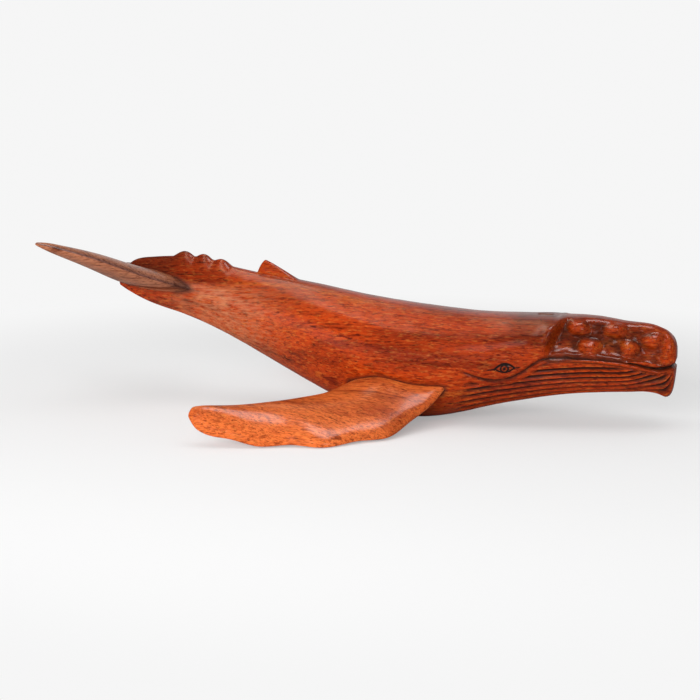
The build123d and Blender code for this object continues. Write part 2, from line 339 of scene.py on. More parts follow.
def ring_columns():
    """Side, crown or keel, and place along the quarter, from the crown down the right side and round."""
    # Pleats lie along columns below, and the rim needs closer columns above
    pleats_start, keel_start, rim_start = pleat_place_shares[0] - 0.034, 0.960, 0.88
    lower = [np.linspace(0, pleats_start, 9, endpoint=False)]
    for place, step in zip(pleat_place_shares, pleat_step_shares):
        half = pleat_half(place)
        verge = pleat_verge * half
        lower.append(place + np.array([-verge, -half, half, verge, step * 0.46, step * 0.56]))
    lower.append(np.linspace(keel_start, 1.0, 3, endpoint=False))
    lower = np.sort(np.concatenate(lower))
    side_columns = np.linspace(0.0, rim_start, 48, endpoint=False)
    rim_columns = np.linspace(rim_start, 1.0, 10, endpoint=False)
    upper = np.concatenate([side_columns, rim_columns])[1:]
    ring = [(0, 1, 1.0)]
    ring += [(1, 1, t) for t in upper[::-1]]
    ring += [(1, -1, t) for t in lower]
    ring += [(0, -1, 1.0)]
    ring += [(-1, -1, t) for t in lower[::-1]]
    ring += [(-1, 1, t) for t in upper]
    return np.array(ring).T


ring_side, ring_up, ring_tau = ring_columns()
column_count = len(ring_tau)


# Body, plain
def sweep_to_lip(tau, x):
    """Towards the chin the columns below sweep up, so that the pleats end one after another at the lip."""
    lift = chin_lift_share * np.clip((x - chin_start) / chin_run, 0, 1) ** 4
    gathered = tau * chin_lip_share / (chin_lip_share + lift)
    pad_part = (tau - chin_pad_share) / (1 - chin_pad_share)
    pad = chin_pad_share - lift + pad_part * (1 - chin_pad_share + lift)
    lifted = np.where(tau < chin_pad_share, tau - lift, pad)
    swept = np.where(tau < chin_lip_share + lift, gathered, lifted)
    return np.where(ring_up < 0, swept, tau)


def jaw_section(x, tau, width, crown, middle):
    """Upper jaw ahead of the brow: a lip, a hollow side and a narrow flat top."""
    rim_side = np.interp(x, rim_places, rim_half_widths)
    rim_up = crown - np.interp(x, rim_places, rim_drops) - middle
    lip_up = mouth_height(x) + jaw_lip_step - middle
    along = np.clip((tau - jaw_lip_share) / (jaw_rim_share - jaw_lip_share), 0, 1)
    bowl = along**jaw_hollow_skew
    sag = jaw_hollow * 4 * bowl * (1 - bowl) * (1 - smooth(*jaw_hollow_end, x))
    hollow_side = width + (rim_side - width) * along - sag * jaw_hollow_in_share
    hollow_up = lip_up + (rim_up - lip_up) * along - sag * jaw_hollow_down_share
    over = np.clip((tau - jaw_rim_share) / (1 - jaw_rim_share), 0, 1)
    top_side = rim_side * (1 - over)
    top_up = rim_up + (crown - middle - rim_up) * np.sin(over * pi / 2)
    lip_part = np.clip(tau / jaw_lip_share, 0, 1)
    at_lip, below_rim = tau < jaw_lip_share, tau < jaw_rim_share
    side = np.where(at_lip, width, np.where(below_rim, hollow_side, top_side))
    up = np.where(at_lip, lip_up * lip_part, np.where(below_rim, hollow_up, top_up))
    for _ in range(jaw_smoothing_passes):
        for line in (side, up):
            line[:, 1:-1] = (line[:, :-2] + 2 * line[:, 1:-1] + line[:, 2:]) / 4
    return side, up


def body_sections():
    """X, middle height, distances sideways and upwards, and twist, for each row and column."""
    x, crown, keel, width, crown_full, keel_full, turn = [column[:, None] for column in body_rows().T]
    tau = sweep_to_lip(np.broadcast_to(ring_tau, (row_count, column_count)), x)
    side, up = quarter_weights(tau, np.where(ring_up > 0, crown_full, keel_full))
    middle = (crown + keel) / 2
    lateral = side * width
    vertical = up * (crown - keel) / 2 * ring_up
    jaw_side, jaw_up = jaw_section(x, tau, width, crown, middle)
    brow = ahead_of_brow(x, middle + jaw_up)
    jaw = smooth(*brow_step, brow) * (1 - smooth(*jaw_end, x)) * (ring_up > 0)
    lateral = (lateral * (1 - jaw) + jaw_side * jaw) * ring_side
    vertical = vertical * (1 - jaw) + jaw_up * jaw
    return x, middle, lateral, vertical, np.radians(turn)


def outward(points):
    """Outward normals of the grid."""
    around = np.roll(points, -1, axis=1) - np.roll(points, 1, axis=1)
    along = np.gradient(points, axis=0)
    normal = np.cross(along, around)
    size = np.linalg.norm(normal, axis=-1, keepdims=True)
    normal = normal / np.maximum(size, 1e-9)
    centre = points.mean(axis=1, keepdims=True)
    if ((points - centre) * normal).sum() < 0:
        normal = -normal
    return normal


def plain_body():
    """The body before it is carved, with what the carving needs to know of each point."""
    x, middle, lateral, vertical, turn = body_sections()
    y = -lateral * np.cos(turn) + vertical * np.sin(turn)
    z = middle + lateral * np.sin(turn) + vertical * np.cos(turn)
    plain = SimpleNamespace(x=np.broadcast_to(x, y.shape), y=y, z=z, lateral=lateral, turn=turn)
    plain.points = np.stack([plain.x, y, z], axis=-1)
    plain.normal = outward(plain.points)
    out_share = np.abs(lateral) / np.max(np.abs(lateral), axis=1, keepdims=True)
    plain.crown = ring_up > 0
    plain.upper = plain.crown & (out_share > 0)
    plain.flank = (out_share > flank_share).astype(float)
    plain.jaw_side = plain.upper * smooth(*jaw_side_shares, out_share)
    plain.brow = ahead_of_brow(plain.x, z)
    plain.mouth_gap, plain.above, plain.hook_run = mouth_distance(plain.x, z)
    return plain


# Body, carved: how far its points move, and how dark the wood is painted there, mostly as painted shade
def ridge_and_fin(body):
    """Rise of the tail knuckles, the dorsal fin and the blowhole, and the painted shade in its slits."""
    rise = np.zeros(body.x.shape)
    for place, height, reach in knuckles:
        knuckle = height * dome((body.x - place) / reach) ** knuckle_roundness
        rise += knuckle * bell(body.lateral, knuckle_half_width)
    front = np.clip((fin_front_x - body.x) / fin_front_run, 0, 1)
    rear = np.clip((body.x - fin_rear_x) / fin_rear_run, 0, 1)
    edges = np.exp(-fin_crispness * front) + np.exp(-fin_rear_crispness * rear**fin_rear_curve)
    fin = np.clip(-fin_rise * np.log(edges) / fin_crispness, 0, None) * (front > 0) * (rear > 0)
    rise = np.maximum(rise, fin * np.sqrt(dome(body.lateral / fin_half_width)))
    crest = crest_height * between(crest_start, crest_end, body.x)
    dip = dip_depth * bell(body.x - dip_x, dip_reach)
    rise += (crest - dip) * bell(body.lateral, crest_half_width)
    dark = np.zeros(body.x.shape)
    for way in (-1, 1):
        middle = way * (slit_side + (body.x - slit_x) * slit_spread_share)
        slit = bell(body.lateral - middle, slit_half_width) * between(slit_start, slit_end, body.x)
        rise -= slit_depth * slit
        dark = np.maximum(dark, slit)
    return rise * body.crown, dark * body.crown


def brow_edge(body):
    """Rounded brow, with painted shade in the corner under it."""
    bulge, bulge_gap, bulge_reach = 1.5, -4.5, 6.5
    bulge_start, bulge_end = (62, 70), (78, 85)
    corner_painted_shade, corner_gap, corner_reach, corner_start = 0.30, 5.0, 2.0, (60, 64)
    place = body.upper * body.flank
    push = bulge * bell(body.brow - bulge_gap, bulge_reach) * between(bulge_start, bulge_end, body.z)
    dark = corner_painted_shade * bell(body.brow - corner_gap, corner_reach) * smooth(*corner_start, body.z)
    return push * place, dark * place


def jaw_knobs(body):
    """Height of the tubercles and hollows, and the painted shade between them: a painted shadow under the
    upper row, painted shade in the hollows and painted light on the knobs.
    """
    valley_x, valley_z, valley_slope, valley_reach = 180, 73.6, 0.05, 2.4
    valley_start, valley_end = (158, 166), (196, 216)
    # Strengths of the painted shadow in the valley, the painted shade in the hollows and the painted light on
    # the knobs
    valley_painted_shadow, hollow_painted_shade, knob_painted_light = 0.75, 0.60, 0.62
    knob_skew = 1.35
    knob = np.zeros(body.x.shape)
    valley = body.z - valley_z + (body.x - valley_x) * valley_slope
    shade = valley_painted_shadow * bell(valley, valley_reach) * between(valley_start, valley_end, body.x)
    for x0, z0, along, up, depth in hollows:
        near = bell(body.x - x0, along) * bell(body.z - z0, up)
        knob -= depth * near
        shade = np.maximum(shade, hollow_painted_shade * near)
    for index, (x0, z0, along, up, height) in enumerate(tubercles):
        part_along, part_up = (body.x - x0) / along, (body.z - z0) / up
        bearing = np.arctan2(part_up, part_along)
        uneven = 1 + 0.20 * np.sin(2 * bearing + 1.7 * index) + 0.12 * np.sin(3 * bearing + index)
        near = np.clip(1 - (part_along**2 + part_up**2) * uneven, 0, None)
        left_over = np.minimum(knob, 0) * (near > 0) * (1 - near)
        knob = np.maximum(knob, height * near**knob_skew) + left_over
        shade = shade * (1 - smooth(0.0, 0.5, near)) - knob_painted_light * smooth(0.1, 0.9, near)
    return knob * body.jaw_side, shade


def painted_head_shade(body, knob_painted_shade):
    """Painted shade of the hollow jaw side and of the head behind the brow, with the front half of the body
    painted darker as shade.
    """
    jaw_start, jaw_fade, jaw_top_start_z = (3.0, 6.5), (236, 246), (66, 72)
    head_start, head_start_z, head_fade = (106, 134), (62, 72), (0.0, 5.0)
    front_start = (60, 150)
    jaw = np.clip(0.75 * knob_painted_shade + 0.68 + 0.10 * smooth(*jaw_top_start_z, body.z), 0, 1)
    jaw = jaw * body.jaw_side * smooth(*jaw_start, body.brow) * (1 - smooth(*jaw_fade, body.x))
    head = 0.52 * smooth(*head_start, body.x) * smooth(*head_start_z, body.z)
    head = head * (1 - 0.7 * smooth(*head_fade, body.brow))
    # The front half of the body is painted darker, as shade
    front = 0.10 * smooth(*front_start, body.x)
    return np.maximum(jaw, front + head)


def jaw_mottle(body):
    """Unevenness of the hollow jaw side between its knobs, from a few crossing waves; it raises the wood and
    is painted on as light and shade too.
    """
    start, end = (3.0, 8.0), (234, 244)
    mottle = np.sin(body.x * 0.36 + body.z * 0.22) * np.sin(body.z * 0.47 - body.x * 0.11 + 0.9)
    mottle += 0.6 * np.sin(body.x * 0.61 - body.z * 0.37 + 2.1) * np.sin(body.z * 0.83 + body.x * 0.17)
    return mottle * body.jaw_side * smooth(*start, body.brow) * (1 - smooth(*end, body.x))


def mouth_and_lip(body):
    """The cut of the mouth with a cord of lip under it and a low edge above it, with painted shade in the cut
    and in the line under the lip.
    """
    below = -body.above
    nose = smooth(*nose_start, body.x)
    gape = mouth_gape + mouth_widening * smooth(*widening_start, body.x)
    hook = 0.35 + 0.65 * smooth(0, hook_length, body.hook_run)
    cut = bell(body.mouth_gap, gape) * hook * body.flank
    cut = np.maximum(cut, bell(body.mouth_gap, nose_gape) * nose)
    lip_part = smooth(*lip_start, body.x)
    lip = between(lip_top, lip_foot, below) * lip_part * (1 - 0.3 * nose)
    line = np.exp(-((np.abs(below - lip_line_drop) / lip_line_width) ** 1.6))
    line = line * lip_part * (1 - smooth(*lip_line_end, body.x))
    edge = between(edge_foot, edge_top, body.above) * lip_part * body.flank
    push = lip_height * lip + edge_height * edge - (mouth_depth + gape) * cut - lip_line_depth * line
    return push, np.maximum(cut**0.8, 0.75 * line)


def throat_pleats(body):
    """Grooves along the pleats' columns, wider at the chin, with soft lands between them; the grooves are
    painted with shade.
    """
    groove = np.zeros(body.x.shape)
    ridge = np.zeros(body.x.shape)
    chin = pleat_chin_verge * smooth(*pleat_chin_start, body.x)
    for index, (place, step) in enumerate(zip(pleat_place_shares, pleat_step_shares)):
        reach = 1.03 * pleat_half(place)
        line = (np.abs(ring_tau - place) < reach) & (ring_up < 0)
        verge = (np.abs(ring_tau - place) < pleat_verge * reach) & (ring_up < 0)
        land = (np.abs(ring_tau - place - step / 2) < 0.07 * step) & (ring_up < 0)
        rear_end = pleat_rear_end - pleat_rear_step * index + 0.5 * max(0, index - 4) ** 2
        length = between((rear_end, rear_end + pleat_rear_fade), pleat_front_fade, body.x)
        groove = np.maximum(groove, np.maximum(line, verge * chin) * length)
        ridge = np.maximum(ridge, land * length)
    below_lip = smooth(*pleat_lip_gap, -body.above)
    push = pleat_land_height * ridge - pleat_depth * groove
    return push * below_lip, 0.95 * groove * below_lip


def eye_ball(body):
    """A ball in almond lids; the eye's lines are drawn in the wood's shader."""
    window_length, window_height = 9.5, 7.0
    ball_height, ball_reach = 1.1, 4.4
    lid_depth, lid_width, lid_half_length = 0.9, 0.9, 7.9
    fold_height, fold_rise, fold_width, fold_half_length = 0.9, 1.8, 1.4, 9.0
    dx = body.x - eye_x
    dz = body.z - eye_z - eye_slope_share * dx
    opening = eye_half_opening * dome(dx / eye_half_length)
    near = (np.abs(dx) < window_length) & (np.abs(dz) < window_height)
    ball = ball_height * dome(np.hypot(dx, dz) / ball_reach) * (np.abs(dz) < opening)
    lids = lid_depth * bell(np.abs(dz) - opening, lid_width) * (np.abs(dx) < lid_half_length) * near
    fold = fold_height * bell(dz - opening - fold_rise, fold_width) * dome(dx / fold_half_length) * near
    return ball - lids + fold


def tool_facets(body):
    """Light facets left by hand tools, from a few crossing waves."""
    start, end = (-212, -190), (236, 248)
    facet = 0.06 * np.sin(body.x * 0.21 + body.z * 0.13) * np.sin(body.z * 0.27 - body.x * 0.05 + 1.3)
    facet += 0.03 * np.sin(body.x * 0.47 - body.z * 0.33 + 0.7) * np.sin(body.z * 0.41 + body.y * 0.2)
    return facet * between(start, end, body.x)


def tail_tones(body, shade):
    """The tail's side is painted paler, as painted sheen over paler wood; the wood is darker along its ridge
    and at the fin's foot, with painted shade in the hollow above the flukes.
    """
    ridge_start_z, fin_foot_start_z = (97, 106), (80, 92)
    sheen_patch_x, sheen_patch_reach, fin_foot_x, fin_foot_reach = -118, 44, -62, 34
    ridge_end, tail_end = (-135, -85), (-172, -150)
    ridge_side = smooth(*ridge_start_z, body.z)
    # Painted sheen over paler wood on the tail's side
    pale = 0.62 * bell(body.x - sheen_patch_x, sheen_patch_reach) * (1 - ridge_side)
    ridge = 0.36 * (1 - smooth(*ridge_end, body.x)) + 0.36 * (1 - smooth(*tail_end, body.x))
    fin_foot = 0.28 * bell(body.x - fin_foot_x, fin_foot_reach) * smooth(*fin_foot_start_z, body.z)
    return pale, np.maximum.reduce([shade, ridge * ridge_side, fin_foot])


def carved_body():
    """Points of the body, and at each its painted sheen (pale), its painted shade in the cuts (dark), and its
    painted shade or darker wood (shade).
    """
    body = plain_body()
    rise, slit_painted_shade = ridge_and_fin(body)
    brow_push, brow_painted_shade = brow_edge(body)
    knob, knob_painted_shade = jaw_knobs(body)
    mottle = jaw_mottle(body)
    mouth_push, mouth_painted_shade = mouth_and_lip(body)
    pleat_push, pleat_painted_shade = throat_pleats(body)
    push = brow_push + mottle_height * mottle + mouth_push + pleat_push + eye_ball(body) + tool_facets(body)
    points = body.points + body.normal * push[..., None]
    points[..., 1] += rise * np.sin(body.turn) - knob_out_share * knob * np.sign(body.lateral)
    points[..., 2] += rise * np.cos(body.turn) + knob_up_share * knob
    points[..., 2] = np.maximum(points[..., 2], 0.0)
    points[..., 0] = np.clip(points[..., 0], tail_reach, snout_reach)
    # Painted shade and light of the jaw side, its knobs and mottle, and painted shade of the head
    shade = np.clip(painted_head_shade(body, knob_painted_shade) + mottle_painted_shade * mottle, 0, 1)
    pale, shade = tail_tones(body, shade)
    # Painted shade in the blowhole's slits, the brow's corner, the mouth and the pleats
    dark = np.maximum.reduce([slit_painted_shade, brow_painted_shade, mouth_painted_shade, pleat_painted_shade])
    return points, {"pale": pale, "dark": dark, "shade": shade}


def close_snout(points, marks):
    """Rings close the snout's flat front, and the mouth line, with its painted shade, is carried across them.
    """
    ring_total = 20
    front_gape, front_depth = 1.7, 2.4
    share = np.linspace(1, 0, ring_total + 2)[1:-1, None]
    middle = points[-1].mean(axis=0)
    front = middle + (points[-1] - middle) * share[..., None]
    mouth = bell(front[..., 2] - mouth_height(snout_reach), front_gape)
    front[..., 0] -= front_depth * mouth * (1 - share**6)
    front_marks = {key: np.repeat(value[-1:], ring_total, axis=0) for key, value in marks.items()}
    front_marks["dark"] = np.maximum(front_marks["dark"] * share**8, mouth**0.8)
    marks = {key: np.concatenate([value, front_marks[key]]) for key, value in marks.items()}
    return np.concatenate([points, front]), marks


def fan_ends(points):
    """Faces of a tube of rings whose ends are closed by a fan round two more points."""
    row_total, column_total = points.shape[:2]
    faces = grid_faces(row_total, column_total)
    tail_centre = row_total * column_total
    nose_centre = tail_centre + 1
    last = (row_total - 1) * column_total
    for i in range(column_total):
        n = (i + 1) % column_total
        faces.append([tail_centre, n, i])
        faces.append([nose_centre, last + i, last + n])
    return faces


# Glue seam: how near a body point has to lie to a limb, and the depth of the crack at the flippers
seam_reach, seam_width, crack_depth = 4.0, 3.8, 0.9
seam_x_from, seam_x_to, fluke_x_to = -225, 90, -100
fluke_seam_start = (-168, -158)


def glue_seam(flat, limbs):
    """Strength of the dark glue line at each body point, where the limbs are let in."""
    seam = np.zeros(len(flat))
    for limb in limbs:
        corners = [v.co.copy() for v in limb.data.vertices]
        tree = BVHTree.FromPolygons(corners, [tuple(p.vertices) for p in limb.data.polygons])
        for i, p in enumerate(flat):
            if seam[i] >= 1 or not seam_x_from < p[0] < seam_x_to:
                continue
            distance = tree.find_nearest(Vector(p * MM), seam_reach * MM)[3]
            if distance is not None:
                strength = 1.0 if p[0] > fluke_x_to else 0.25 + 0.75 * smooth(*fluke_seam_start, p[0])
                seam[i] = max(seam[i], strength * (1 - min(distance / (seam_width * MM), 1)))
    return seam


def make_body(limbs):
    points, marks = close_snout(*carved_body())
    flat = np.vstack([points.reshape(-1, 3), points[0].mean(axis=0), points[-1].mean(axis=0)])
    marks = {key: np.append(value, [0, 0]) for key, value in marks.items()}
    marks["seam"] = glue_seam(flat, limbs)
    crack = crack_depth * marks["seam"] * (flat[:, 0] > fluke_x_to)
    out = np.vstack([outward(points).reshape(-1, 3), np.zeros((2, 3))])
    flat = flat - out * crack[:, None]
    piece = make_object("whale_body", flat * MM, fan_ends(points), marks)
    turn_faces_out(piece)
    return piece


# Flippers and flukes, root to tip: place along the length, front edge across and up,
# rear edge across and up, and thickness
flipper_shares = [
    (-0.171, 0.790, 0.917, 0.050, 1.000, 1.10),
    (-0.074, 0.840, 0.556, 0.090, 0.944, 1.18),
    (0.040, 0.890, 0.306, 0.145, 0.903, 1.18),
    (0.189, 0.990, 0.080, 0.250, 0.806, 1.06),
    (0.326, 0.985, 0.080, 0.350, 0.731, 0.87),
    (0.429, 1.000, 0.045, 0.390, 0.728, 0.79),
    (0.514, 0.985, 0.035, 0.425, 0.736, 0.73),
    (0.617, 0.860, 0.070, 0.460, 0.756, 0.67),
    (0.749, 0.770, 0.050, 0.484, 0.783, 0.59),
    (0.857, 0.660, 0.195, 0.478, 0.817, 0.50),
    (0.937, 0.580, 0.275, 0.464, 0.847, 0.42),
    (0.980, 0.520, 0.400, 0.452, 0.825, 0.36),
    (1.000, 0.480, 0.520, 0.440, 0.770, 0.22),
]
fluke_shares = [
    (-0.035, 0.180, -0.150, -1.000, -0.125, 0.86),
    (0.084, 0.092, -0.110, -1.020, -0.050, 0.95),
    (0.211, 0.020, 0.020, -1.010, 0.050, 1.00),
    (0.351, -0.066, 0.170, -1.000, 0.170, 0.96),
    (0.505, -0.156, 0.390, -0.960, 0.390, 0.85),
    (0.667, -0.256, 0.620, -0.830, 0.580, 0.69),
    (0.828, -0.360, 0.800, -0.676, 0.740, 0.51),
    (0.940, -0.436, 0.905, -0.560, 0.868, 0.33),
    (1.000, -0.478, 0.965, -0.512, 0.950, 0.12),
]
flipper_rows, flipper_columns = 170, 72
flipper_root_y = -32.0
swell_height, swell_x, swell_y, swell_length, swell_width = 3.4, 20, -44, 18, 16
fluke_rows, fluke_columns = 130, 64
fluke_root_y = -3.0
fluke_root_z = 97.5
# Places and width of the painted shade along the flukes' front edge, and where their roots turn darker
edge_shade_turns, edge_shade_width, root_dark_start = (-0.02 * pi, 0.13 * pi), 0.30, (-168, -146)


def limb_turns(column_total):
    """Places round a limb's section, closer together at its two edges."""
    turn = np.linspace(0, 2 * pi, column_total, endpoint=False)
    return turn - 0.35 * np.sin(2 * turn) / 2


def limb_grid(shares, root_x, heading_turn, length, width, rise, thickness, row_total, column_total,
              sharpness, crown_share, tip_share):
    """Points of a flipper or fluke on the right side."""
    origin = np.array([root_x, 0.0, 0.0])
    heading = radians(heading_turn)
    onward = np.array([-cos(heading), -sin(heading), 0])
    across = np.array([sin(heading), -cos(heading), 0])
    sizes = np.array([width, rise, width, rise, thickness, length])
    values = np.roll(np.array(shares), -1, axis=1) * sizes
    steps = np.sqrt((np.diff(values, axis=0) ** 2).sum(axis=1))
    knots = np.concatenate([[0], np.cumsum(steps)])
    sections = natural_spline(knots, values, np.linspace(0, knots[-1], row_total))
    tip = np.clip((sections[:, 5] / length - tip_share) / (1 - tip_share), 0, 1)
    rounding = np.sqrt(np.clip(1 - tip**2, 0.02, 1))
    turn = limb_turns(column_total)
    swell = np.abs(np.sin(turn)) ** sharpness * np.where(np.sin(turn) > 0, crown_share, crown_share - 1)
    points = np.zeros((row_total, column_total, 3))
    for i, (front_out, front_up, rear_out, rear_up, thick, on) in enumerate(sections):
        front = origin + onward * on + across * front_out + np.array([0, 0, front_up])
        rear = origin + onward * on + across * rear_out + np.array([0, 0, rear_up])
        chord = front - rear
        lift = np.cross(onward, chord / np.linalg.norm(chord))
        section = np.outer(np.cos(turn), chord / 2) + np.outer(swell, lift * thick)
        points[i] = (front + rear) / 2 + section * rounding[i]
    return points


def make_flippers():
    points = limb_grid(
        flipper_shares, root_x=0.0, heading_turn=40.6, length=175.0, width=100.0, rise=36.0, thickness=17.5,
        row_total=flipper_rows, column_total=flipper_columns,
        sharpness=1.1, crown_share=0.58, tip_share=0.975,
    )
    # The root swells where it meets the body
    swell = bell(points[..., 0] - swell_x, swell_length) * bell(points[..., 1] - swell_y, swell_width)
    points[..., 2] += swell_height * swell * np.clip(np.sin(limb_turns(flipper_columns)), 0, 1)
    points[..., 2] = np.maximum(points[..., 2], 0.0)
    right = make_object("flipper_right", points.reshape(-1, 3) * MM, capped(points))
    trim_root(right, flipper_root_y * MM)
    return right, mirrored(right, "flipper_left")


def make_flukes():
    points = limb_grid(
        fluke_shares, root_x=-145.0, heading_turn=53.1, length=140.8, width=50.0, rise=24.0, thickness=16.5,
        row_total=fluke_rows, column_total=fluke_columns,
        sharpness=1.5, crown_share=0.7, tip_share=0.985,
    )
    # A dark line of painted shade runs along the front edge, between the painted sheen of the faces, and the
    # root's front end is darker
    edge_turn = (limb_turns(fluke_columns) + pi) % (2 * pi) - pi
    line_turn = np.linspace(*edge_shade_turns, fluke_rows)
    line = bell(edge_turn - line_turn[:, None], edge_shade_width)
    root_darkening = smooth(*root_dark_start, points[..., 0])
    marks = {"shade": 0.80 * line.ravel(), "seam": 0.85 * root_darkening.ravel(), "dark": np.zeros(line.size)}
    right = make_object("fluke_right", points.reshape(-1, 3) * MM, capped(points), marks)
    trim_root(right, fluke_root_y * MM)
    left = mirrored(right, "fluke_left")
    twist = Matrix.Rotation(radians(-tail_twist_turn), 4, "X")
    lift = Matrix.Translation((0, 0, fluke_root_z * MM))
    for piece in (right, left):
        piece.data.transform(lift @ twist)
    return right, left


right_flipper, left_flipper = make_flippers()
right_fluke, left_fluke = make_flukes()
body = make_body((right_flipper, left_flipper, right_fluke, left_fluke))


# Materials
class Nodes:
    """Short ways to add nodes to one tree and to join them."""

    def __init__(self, tree):
        self.tree = tree
        tree.nodes.clear()

    def add(self, kind, **settings):
        made = self.tree.nodes.new("ShaderNode" + kind)
        for key, value in settings.items():
            setattr(made, key, value)
        return made

    def feed(self, node, *values):
        """Give a node's first inputs another node's output, a number, a vector or a colour each."""
        for socket, value in zip(node.inputs, values):
            self.feed_socket(socket, value)
        return node.outputs[0]

    def feed_socket(self, socket, value):
        if isinstance(value, bpy.types.NodeSocket):
            self.tree.links.new(value, socket)
        elif socket.type == "RGBA":
            socket.default_value = (*value, 1)
        else:
            socket.default_value = value

    def calc(self, kind, *values):
        return self.feed(self.add("Math", operation=kind), *values)

    def change(self, value, low, high, start=0.0, end=1.0, kind="SMOOTHSTEP"):
        """Go from start to end while value goes from low to high."""
        return self.feed(self.add("MapRange", interpolation_type=kind), value, low, high, start, end)

    def ramp(self, value, stops):
        made = self.add("ValToRGB")
        elements = made.color_ramp.elements
        while len(elements) < len(stops):
            elements.new(0.5)
        for element, (position, colour) in zip(elements, stops):
            element.position = position
            element.color = (*colour, 1)
        return self.feed(made, value)

    def mask(self, value, low, high):
        return self.ramp(value, [(low, (0, 0, 0)), (high, (1, 1, 1))])

    def blend(self, kind, factor, under, over):
        made = self.add("Mix", data_type="RGBA", blend_type=kind, clamp_factor=True)
        self.feed_socket(made.inputs[0], factor)
        self.feed_socket(made.inputs[6], under)
        self.feed_socket(made.inputs[7], over)
        return made.outputs[2]

    def attribute(self, name):
        return self.add("Attribute", attribute_name=name, attribute_type="GEOMETRY").outputs["Fac"]

    def noise(self, place, location, turn, scale, detail, rough, distortion):
        mapping = self.add("Mapping")
        self.feed_socket(mapping.inputs["Vector"], place)
        self.feed_socket(mapping.inputs["Location"], location)
        self.feed_socket(mapping.inputs["Rotation"], (0, 0, radians(turn)))
        self.feed_socket(mapping.inputs["Scale"], scale)
        made = self.add("TexNoise")
        self.feed_socket(made.inputs["Vector"], mapping.outputs[0])
        self.feed_socket(made.inputs["Scale"], 1.0)
        self.feed_socket(made.inputs["Detail"], detail)
        self.feed_socket(made.inputs["Roughness"], rough)
        self.feed_socket(made.inputs["Distortion"], distortion)
        return made.outputs[0]

    def plain(self, kind, level, *strength):
        """A shader of one grey."""
        return self.feed(self.add(kind), (level, level, level), *strength)

    def mix_shaders(self, factor, first, second):
        return self.feed(self.add("MixShader"), factor, first, second)

    def show(self, kind, shader):
        self.feed_socket(self.add(kind).inputs["Surface"], shader)


def eye_lines(nodes, place):
    """Strength of the carved eye's dark lines: lids, ring, pupil and the creases at both corners."""
    calc = nodes.calc
    lid_half, lower_lid_half, lower_lid_share, lid_half_length = 1.05, 0.75, 0.82, 8.0
    ring_reach, ring_half, pupil_half, crease_half = 2.9, 0.75, 1.2, 0.5

    def stroke(gap, half):
        return nodes.change(calc("ABSOLUTE", gap), half * 0.6, half * 1.4, 1.0, 0.0)

    def crease(corner, slope, middle, half_length):
        height = calc("SUBTRACT", dz, calc("MULTIPLY", calc("SUBTRACT", dx, corner), slope))
        length = stroke(calc("SUBTRACT", dx, middle), half_length)
        return calc("MULTIPLY", stroke(height, crease_half), length)

    split = nodes.add("SeparateXYZ")
    nodes.feed(split, place)
    dx = calc("SUBTRACT", calc("DIVIDE", split.outputs[0], MM), eye_x)
    dz = calc("SUBTRACT", calc("DIVIDE", split.outputs[2], MM), eye_z)
    dz = calc("SUBTRACT", dz, calc("MULTIPLY", dx, eye_slope_share))
    part = calc("DIVIDE", dx, eye_half_length)
    opening = calc("MULTIPLY", calc("SUBTRACT", 1.0, calc("MULTIPLY", part, part)), eye_half_opening)
    upper = stroke(calc("SUBTRACT", dz, opening), lid_half)
    lower = stroke(calc("ADD", dz, calc("MULTIPLY", opening, lower_lid_share)), lower_lid_half)
    within = calc("LESS_THAN", calc("ABSOLUTE", dx), lid_half_length)
    lines = calc("MULTIPLY", calc("MAXIMUM", upper, lower), within)
    reach = calc("SQRT", calc("ADD", calc("MULTIPLY", dx, dx), calc("MULTIPLY", dz, dz)))
    for line in (
        stroke(calc("SUBTRACT", reach, ring_reach), ring_half),
        stroke(reach, pupil_half),
        crease(-eye_half_length, 0.10, -10.3, 3.4),
        crease(eye_half_length, 0.04, 9.4, 2.6),
    ):
        lines = calc("MAXIMUM", lines, line)
    return lines


# Layers over the wood's bands: blend, noise scale, detail, roughness, distortion and place,
# the part of the noise that shows, and the tone
wood_layers = {
    "broad": ("MULTIPLY", (6, 13, 13), 2.0, 0.5, 0.0, (0, 0, 0), (0.40, 0.68), (0.66, 0.56, 0.52)),
    "fibre": ("MULTIPLY", (14, 520, 520), 4.0, 0.6, 0.0, (0, 0, 0), (0.46, 0.70), (0.60, 0.48, 0.42)),
    "glint": ("SCREEN", (170, 640, 640), 2.0, 0.55, 0.4, (0, 0, 0), (0.52, 0.74), (0.13, 0.055, 0.010)),
    "fleck": ("MULTIPLY", (150, 560, 560), 2.0, 0.55, 0.4, (5.3, 2.1, 7.7), (0.52, 0.70), (0.48, 0.40, 0.37)),
    "streak": ("MULTIPLY", (2.2, 95, 95), 3.0, 0.5, 0.4, (3.1, 1.7, 0.4), (0.62, 0.70), (0.50, 0.38, 0.33)),
    "pores": ("MULTIPLY", (150, 1500, 1500), 1.0, 0.4, 0.0, (0, 0, 0), (0.59, 0.68), (0.44, 0.36, 0.34)),
    "knots": ("MULTIPLY", (60, 150, 150), 2.0, 0.5, 0.8, (0.6, 4.2, 2.2), (0.70, 0.75), (0.26, 0.20, 0.18)),
}
# Carved marks on the mesh: attribute, blend and tone. Shade is painted shade with some darker wood, seam the
# dark glue lines and the darker fluke roots, dark the painted shade in cuts and grooves
carved_tones = [
    ("shade", "MULTIPLY", (0.20, 0.24, 0.50)),
    ("seam", "MIX", (0.05, 0.014, 0.008)),
    ("dark", "MIX", (0.016, 0.006, 0.004)),
]
# Tone of the painted sheen over paler wood on the tail's side
sheen_and_pale_wood_tone = (0.50, 0.20, 0.095)
eye_line_tone = (0.010, 0.005, 0.004)
polish_coat, polish_coat_roughness, polish_specular = 0.34, 0.17, 0.03
smooth_roughness, fibre_roughness = 0.30, 0.46
grain_bump, grain_depth = 0.10, 0.6


